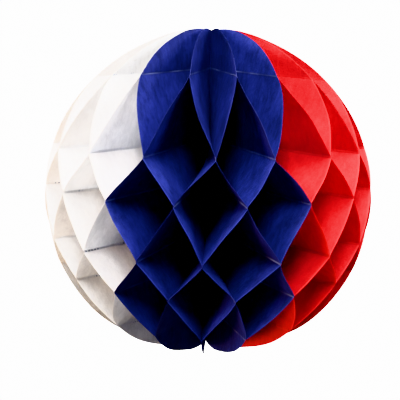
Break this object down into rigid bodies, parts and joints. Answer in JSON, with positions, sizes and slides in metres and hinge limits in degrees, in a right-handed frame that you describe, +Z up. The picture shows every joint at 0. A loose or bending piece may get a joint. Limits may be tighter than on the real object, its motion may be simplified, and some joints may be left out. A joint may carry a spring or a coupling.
{
  "type": "paper honeycomb ball",
  "caption": "Round honeycomb decoration of folded tissue sheets in white, blue and red, which fans out round a glued spine between two card covers.",
  "frame": {"origin": "centre of the ball, on the axis of its spine", "axes": "+Z up along the spine, -Y the front with the blue sheets in the middle, -X the seam between the two card covers"},
  "size_m": [0.2996, 0.2986, 0.3],
  "materials": {
    "white_tissue": "matte",
    "blue_tissue": "matte",
    "red_tissue": "matte",
    "cover_card": "matte",
    "adhesive": "satin",
    "dried_glue": "satin"
  },
  "bodies": {
    "front_cover": {"front_cover": "cover_card", "spine_glue": "dried_glue"},
    "back_cover": {"back_cover": "cover_card", "adhesive_pads": "adhesive"},
    "white_sheet_01": {"white_sheet_01": "white_tissue"},
    "white_sheet_02": {"white_sheet_02": "white_tissue"},
    "white_sheet_03": {"white_sheet_03": "white_tissue"},
    "white_sheet_04": {"white_sheet_04": "white_tissue"},
    "white_sheet_05": {"white_sheet_05": "white_tissue"},
    "white_sheet_06": {"white_sheet_06": "white_tissue"},
    "blue_sheet_01": {"blue_sheet_01": "blue_tissue"},
    "blue_sheet_02": {"blue_sheet_02": "blue_tissue"},
    "blue_sheet_03": {"blue_sheet_03": "blue_tissue"},
    "blue_sheet_04": {"blue_sheet_04": "blue_tissue"},
    "blue_sheet_05": {"blue_sheet_05": "blue_tissue"},
    "blue_sheet_06": {"blue_sheet_06": "blue_tissue"},
    "red_sheet_01": {"red_sheet_01": "red_tissue"},
    "red_sheet_02": {"red_sheet_02": "red_tissue"},
    "red_sheet_03": {"red_sheet_03": "red_tissue"},
    "red_sheet_04": {"red_sheet_04": "red_tissue"},
    "red_sheet_05": {"red_sheet_05": "red_tissue"},
    "red_sheet_06": {"red_sheet_06": "red_tissue"},
    "white_sheet_07": {"white_sheet_07": "white_tissue"},
    "white_sheet_08": {"white_sheet_08": "white_tissue"},
    "white_sheet_09": {"white_sheet_09": "white_tissue"},
    "white_sheet_10": {"white_sheet_10": "white_tissue"},
    "white_sheet_11": {"white_sheet_11": "white_tissue"},
    "white_sheet_12": {"white_sheet_12": "white_tissue"},
    "blue_sheet_07": {"blue_sheet_07": "blue_tissue"},
    "blue_sheet_08": {"blue_sheet_08": "blue_tissue"},
    "blue_sheet_09": {"blue_sheet_09": "blue_tissue"},
    "blue_sheet_10": {"blue_sheet_10": "blue_tissue"},
    "blue_sheet_11": {"blue_sheet_11": "blue_tissue"},
    "blue_sheet_12": {"blue_sheet_12": "blue_tissue"},
    "red_sheet_07": {"red_sheet_07": "red_tissue"},
    "red_sheet_08": {"red_sheet_08": "red_tissue"},
    "red_sheet_09": {"red_sheet_09": "red_tissue"},
    "red_sheet_10": {"red_sheet_10": "red_tissue"},
    "red_sheet_11": {"red_sheet_11": "red_tissue"},
    "red_sheet_12": {"red_sheet_12": "red_tissue"}
  },
  "joints": [
    {"name": "ball_fold", "type": "hinge", "parent": "front_cover", "child": "back_cover", "pos_m": [0, 0, 0], "axis": [0, 0, 1], "range_deg": [-354, 0]},
    {"name": "white_sheet_01_turn", "type": "hinge", "parent": "front_cover", "child": "white_sheet_01", "pos_m": [0, 0, 0], "axis": [0, 0, 1], "range_deg": [-4.92, 0], "deforming": ["white_sheet_01"]},
    {"name": "white_sheet_02_turn", "type": "hinge", "parent": "front_cover", "child": "white_sheet_02", "pos_m": [0, 0, 0], "axis": [0, 0, 1], "range_deg": [-14.75, 0], "deforming": ["white_sheet_02"]},
    {"name": "white_sheet_03_turn", "type": "hinge", "parent": "front_cover", "child": "white_sheet_03", "pos_m": [0, 0, 0], "axis": [0, 0, 1], "range_deg": [-24.58, 0], "deforming": ["white_sheet_03"]},
    {"name": "white_sheet_04_turn", "type": "hinge", "parent": "front_cover", "child": "white_sheet_04", "pos_m": [0, 0, 0], "axis": [0, 0, 1], "range_deg": [-34.42, 0], "deforming": ["white_sheet_04"]},
    {"name": "white_sheet_05_turn", "type": "hinge", "parent": "front_cover", "child": "white_sheet_05", "pos_m": [0, 0, 0], "axis": [0, 0, 1], "range_deg": [-44.25, 0], "deforming": ["white_sheet_05"]},
    {"name": "white_sheet_06_turn", "type": "hinge", "parent": "front_cover", "child": "white_sheet_06", "pos_m": [0, 0, 0], "axis": [0, 0, 1], "range_deg": [-54.08, 0], "deforming": ["white_sheet_06"]},
    {"name": "blue_sheet_01_turn", "type": "hinge", "parent": "front_cover", "child": "blue_sheet_01", "pos_m": [0, 0, 0], "axis": [0, 0, 1], "range_deg": [-63.92, 0], "deforming": ["blue_sheet_01"]},
    {"name": "blue_sheet_02_turn", "type": "hinge", "parent": "front_cover", "child": "blue_sheet_02", "pos_m": [0, 0, 0], "axis": [0, 0, 1], "range_deg": [-73.75, 0], "deforming": ["blue_sheet_02"]},
    {"name": "blue_sheet_03_turn", "type": "hinge", "parent": "front_cover", "child": "blue_sheet_03", "pos_m": [0, 0, 0], "axis": [0, 0, 1], "range_deg": [-83.58, 0], "deforming": ["blue_sheet_03"]},
    {"name": "blue_sheet_04_turn", "type": "hinge", "parent": "front_cover", "child": "blue_sheet_04", "pos_m": [0, 0, 0], "axis": [0, 0, 1], "range_deg": [-93.42, 0], "deforming": ["blue_sheet_04"]},
    {"name": "blue_sheet_05_turn", "type": "hinge", "parent": "front_cover", "child": "blue_sheet_05", "pos_m": [0, 0, 0], "axis": [0, 0, 1], "range_deg": [-103.25, 0], "deforming": ["blue_sheet_05"]},
    {"name": "blue_sheet_06_turn", "type": "hinge", "parent": "front_cover", "child": "blue_sheet_06", "pos_m": [0, 0, 0], "axis": [0, 0, 1], "range_deg": [-113.08, 0], "deforming": ["blue_sheet_06"]},
    {"name": "red_sheet_01_turn", "type": "hinge", "parent": "front_cover", "child": "red_sheet_01", "pos_m": [0, 0, 0], "axis": [0, 0, 1], "range_deg": [-122.92, 0], "deforming": ["red_sheet_01"]},
    {"name": "red_sheet_02_turn", "type": "hinge", "parent": "front_cover", "child": "red_sheet_02", "pos_m": [0, 0, 0], "axis": [0, 0, 1], "range_deg": [-132.75, 0], "deforming": ["red_sheet_02"]},
    {"name": "red_sheet_03_turn", "type": "hinge", "parent": "front_cover", "child": "red_sheet_03", "pos_m": [0, 0, 0], "axis": [0, 0, 1], "range_deg": [-142.58, 0], "deforming": ["red_sheet_03"]},
    {"name": "red_sheet_04_turn", "type": "hinge", "parent": "front_cover", "child": "red_sheet_04", "pos_m": [0, 0, 0], "axis": [0, 0, 1], "range_deg": [-152.42, 0], "deforming": ["red_sheet_04"]},
    {"name": "red_sheet_05_turn", "type": "hinge", "parent": "front_cover", "child": "red_sheet_05", "pos_m": [0, 0, 0], "axis": [0, 0, 1], "range_deg": [-162.25, 0], "deforming": ["red_sheet_05"]},
    {"name": "red_sheet_06_turn", "type": "hinge", "parent": "front_cover", "child": "red_sheet_06", "pos_m": [0, 0, 0], "axis": [0, 0, 1], "range_deg": [-172.08, 0], "deforming": ["red_sheet_06"]},
    {"name": "white_sheet_07_turn", "type": "hinge", "parent": "front_cover", "child": "white_sheet_07", "pos_m": [0, 0, 0], "axis": [0, 0, 1], "range_deg": [-181.92, 0], "deforming": ["white_sheet_07"]},
    {"name": "white_sheet_08_turn", "type": "hinge", "parent": "front_cover", "child": "white_sheet_08", "pos_m": [0, 0, 0], "axis": [0, 0, 1], "range_deg": [-191.75, 0], "deforming": ["white_sheet_08"]},
    {"name": "white_sheet_09_turn", "type": "hinge", "parent": "front_cover", "child": "white_sheet_09", "pos_m": [0, 0, 0], "axis": [0, 0, 1], "range_deg": [-201.58, 0], "deforming": ["white_sheet_09"]},
    {"name": "white_sheet_10_turn", "type": "hinge", "parent": "front_cover", "child": "white_sheet_10", "pos_m": [0, 0, 0], "axis": [0, 0, 1], "range_deg": [-211.42, 0], "deforming": ["white_sheet_10"]},
    {"name": "white_sheet_11_turn", "type": "hinge", "parent": "front_cover", "child": "white_sheet_11", "pos_m": [0, 0, 0], "axis": [0, 0, 1], "range_deg": [-221.25, 0], "deforming": ["white_sheet_11"]},
    {"name": "white_sheet_12_turn", "type": "hinge", "parent": "front_cover", "child": "white_sheet_12", "pos_m": [0, 0, 0], "axis": [0, 0, 1], "range_deg": [-231.08, 0], "deforming": ["white_sheet_12"]},
    {"name": "blue_sheet_07_turn", "type": "hinge", "parent": "front_cover", "child": "blue_sheet_07", "pos_m": [0, 0, 0], "axis": [0, 0, 1], "range_deg": [-240.92, 0], "deforming": ["blue_sheet_07"]},
    {"name": "blue_sheet_08_turn", "type": "hinge", "parent": "front_cover", "child": "blue_sheet_08", "pos_m": [0, 0, 0], "axis": [0, 0, 1], "range_deg": [-250.75, 0], "deforming": ["blue_sheet_08"]},
    {"name": "blue_sheet_09_turn", "type": "hinge", "parent": "front_cover", "child": "blue_sheet_09", "pos_m": [0, 0, 0], "axis": [0, 0, 1], "range_deg": [-260.58, 0], "deforming": ["blue_sheet_09"]},
    {"name": "blue_sheet_10_turn", "type": "hinge", "parent": "front_cover", "child": "blue_sheet_10", "pos_m": [0, 0, 0], "axis": [0, 0, 1], "range_deg": [-270.42, 0], "deforming": ["blue_sheet_10"]},
    {"name": "blue_sheet_11_turn", "type": "hinge", "parent": "front_cover", "child": "blue_sheet_11", "pos_m": [0, 0, 0], "axis": [0, 0, 1], "range_deg": [-280.25, 0], "deforming": ["blue_sheet_11"]},
    {"name": "blue_sheet_12_turn", "type": "hinge", "parent": "front_cover", "child": "blue_sheet_12", "pos_m": [0, 0, 0], "axis": [0, 0, 1], "range_deg": [-290.08, 0], "deforming": ["blue_sheet_12"]},
    {"name": "red_sheet_07_turn", "type": "hinge", "parent": "front_cover", "child": "red_sheet_07", "pos_m": [0, 0, 0], "axis": [0, 0, 1], "range_deg": [-299.92, 0], "deforming": ["red_sheet_07"]},
    {"name": "red_sheet_08_turn", "type": "hinge", "parent": "front_cover", "child": "red_sheet_08", "pos_m": [0, 0, 0], "axis": [0, 0, 1], "range_deg": [-309.75, 0], "deforming": ["red_sheet_08"]},
    {"name": "red_sheet_09_turn", "type": "hinge", "parent": "front_cover", "child": "red_sheet_09", "pos_m": [0, 0, 0], "axis": [0, 0, 1], "range_deg": [-319.58, 0], "deforming": ["red_sheet_09"]},
    {"name": "red_sheet_10_turn", "type": "hinge", "parent": "front_cover", "child": "red_sheet_10", "pos_m": [0, 0, 0], "axis": [0, 0, 1], "range_deg": [-329.42, 0], "deforming": ["red_sheet_10"]},
    {"name": "red_sheet_11_turn", "type": "hinge", "parent": "front_cover", "child": "red_sheet_11", "pos_m": [0, 0, 0], "axis": [0, 0, 1], "range_deg": [-339.25, 0], "deforming": ["red_sheet_11"]},
    {"name": "red_sheet_12_turn", "type": "hinge", "parent": "front_cover", "child": "red_sheet_12", "pos_m": [0, 0, 0], "axis": [0, 0, 1], "range_deg": [-349.08, 0], "deforming": ["red_sheet_12"]}
  ],
  "couplings": [
    {"joint": "white_sheet_01_turn", "follows": "ball_fold", "ratio": 0.013889},
    {"joint": "white_sheet_02_turn", "follows": "ball_fold", "ratio": 0.041667},
    {"joint": "white_sheet_03_turn", "follows": "ball_fold", "ratio": 0.069444},
    {"joint": "white_sheet_04_turn", "follows": "ball_fold", "ratio": 0.097222},
    {"joint": "white_sheet_05_turn", "follows": "ball_fold", "ratio": 0.125},
    {"joint": "white_sheet_06_turn", "follows": "ball_fold", "ratio": 0.15278},
    {"joint": "blue_sheet_01_turn", "follows": "ball_fold", "ratio": 0.18056},
    {"joint": "blue_sheet_02_turn", "follows": "ball_fold", "ratio": 0.20833},
    {"joint": "blue_sheet_03_turn", "follows": "ball_fold", "ratio": 0.23611},
    {"joint": "blue_sheet_04_turn", "follows": "ball_fold", "ratio": 0.26389},
    {"joint": "blue_sheet_05_turn", "follows": "ball_fold", "ratio": 0.29167},
    {"joint": "blue_sheet_06_turn", "follows": "ball_fold", "ratio": 0.31944},
    {"joint": "red_sheet_01_turn", "follows": "ball_fold", "ratio": 0.34722},
    {"joint": "red_sheet_02_turn", "follows": "ball_fold", "ratio": 0.375},
    {"joint": "red_sheet_03_turn", "follows": "ball_fold", "ratio": 0.40278},
    {"joint": "red_sheet_04_turn", "follows": "ball_fold", "ratio": 0.43056},
    {"joint": "red_sheet_05_turn", "follows": "ball_fold", "ratio": 0.45833},
    {"joint": "red_sheet_06_turn", "follows": "ball_fold", "ratio": 0.48611},
    {"joint": "white_sheet_07_turn", "follows": "ball_fold", "ratio": 0.51389},
    {"joint": "white_sheet_08_turn", "follows": "ball_fold", "ratio": 0.54167},
    {"joint": "white_sheet_09_turn", "follows": "ball_fold", "ratio": 0.56944},
    {"joint": "white_sheet_10_turn", "follows": "ball_fold", "ratio": 0.59722},
    {"joint": "white_sheet_11_turn", "follows": "ball_fold", "ratio": 0.625},
    {"joint": "white_sheet_12_turn", "follows": "ball_fold", "ratio": 0.65278},
    {"joint": "blue_sheet_07_turn", "follows": "ball_fold", "ratio": 0.68056},
    {"joint": "blue_sheet_08_turn", "follows": "ball_fold", "ratio": 0.70833},
    {"joint": "blue_sheet_09_turn", "follows": "ball_fold", "ratio": 0.73611},
    {"joint": "blue_sheet_10_turn", "follows": "ball_fold", "ratio": 0.76389},
    {"joint": "blue_sheet_11_turn", "follows": "ball_fold", "ratio": 0.79167},
    {"joint": "blue_sheet_12_turn", "follows": "ball_fold", "ratio": 0.81944},
    {"joint": "red_sheet_07_turn", "follows": "ball_fold", "ratio": 0.84722},
    {"joint": "red_sheet_08_turn", "follows": "ball_fold", "ratio": 0.875},
    {"joint": "red_sheet_09_turn", "follows": "ball_fold", "ratio": 0.90278},
    {"joint": "red_sheet_10_turn", "follows": "ball_fold", "ratio": 0.93056},
    {"joint": "red_sheet_11_turn", "follows": "ball_fold", "ratio": 0.95833},
    {"joint": "red_sheet_12_turn", "follows": "ball_fold", "ratio": 0.98611}
  ]
}
